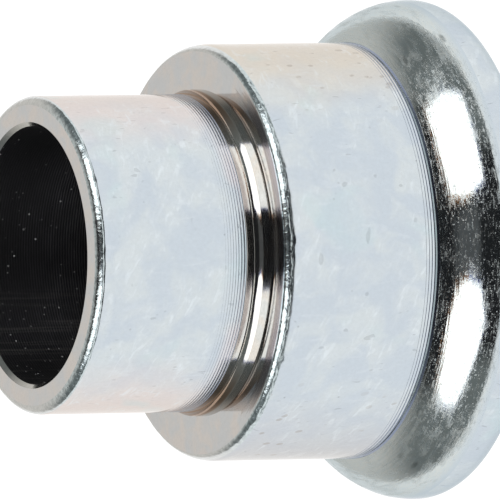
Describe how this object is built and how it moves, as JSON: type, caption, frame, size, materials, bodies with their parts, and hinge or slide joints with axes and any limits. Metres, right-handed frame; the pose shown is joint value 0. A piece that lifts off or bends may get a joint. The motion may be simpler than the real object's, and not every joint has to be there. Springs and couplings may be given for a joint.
{
  "type": "reducer spacer",
  "caption": "Turned steel reducer spacer with a crowned head, a plain spacing body and a slimmer nose round a straight through bore.",
  "frame": {"origin": "centre of the flat end face of the head, on the bore axis", "axes": "+Z along the bore from the head to the nose; the part is round about Z, so X and Y are free"},
  "size_m": [0.025, 0.025, 0.0224],
  "materials": {
    "plated_steel": "turned, then plated in bright clear zinc"
  },
  "bodies": {
    "root": {"reducer_spacer": "plated_steel"}
  },
  "joints": []
}
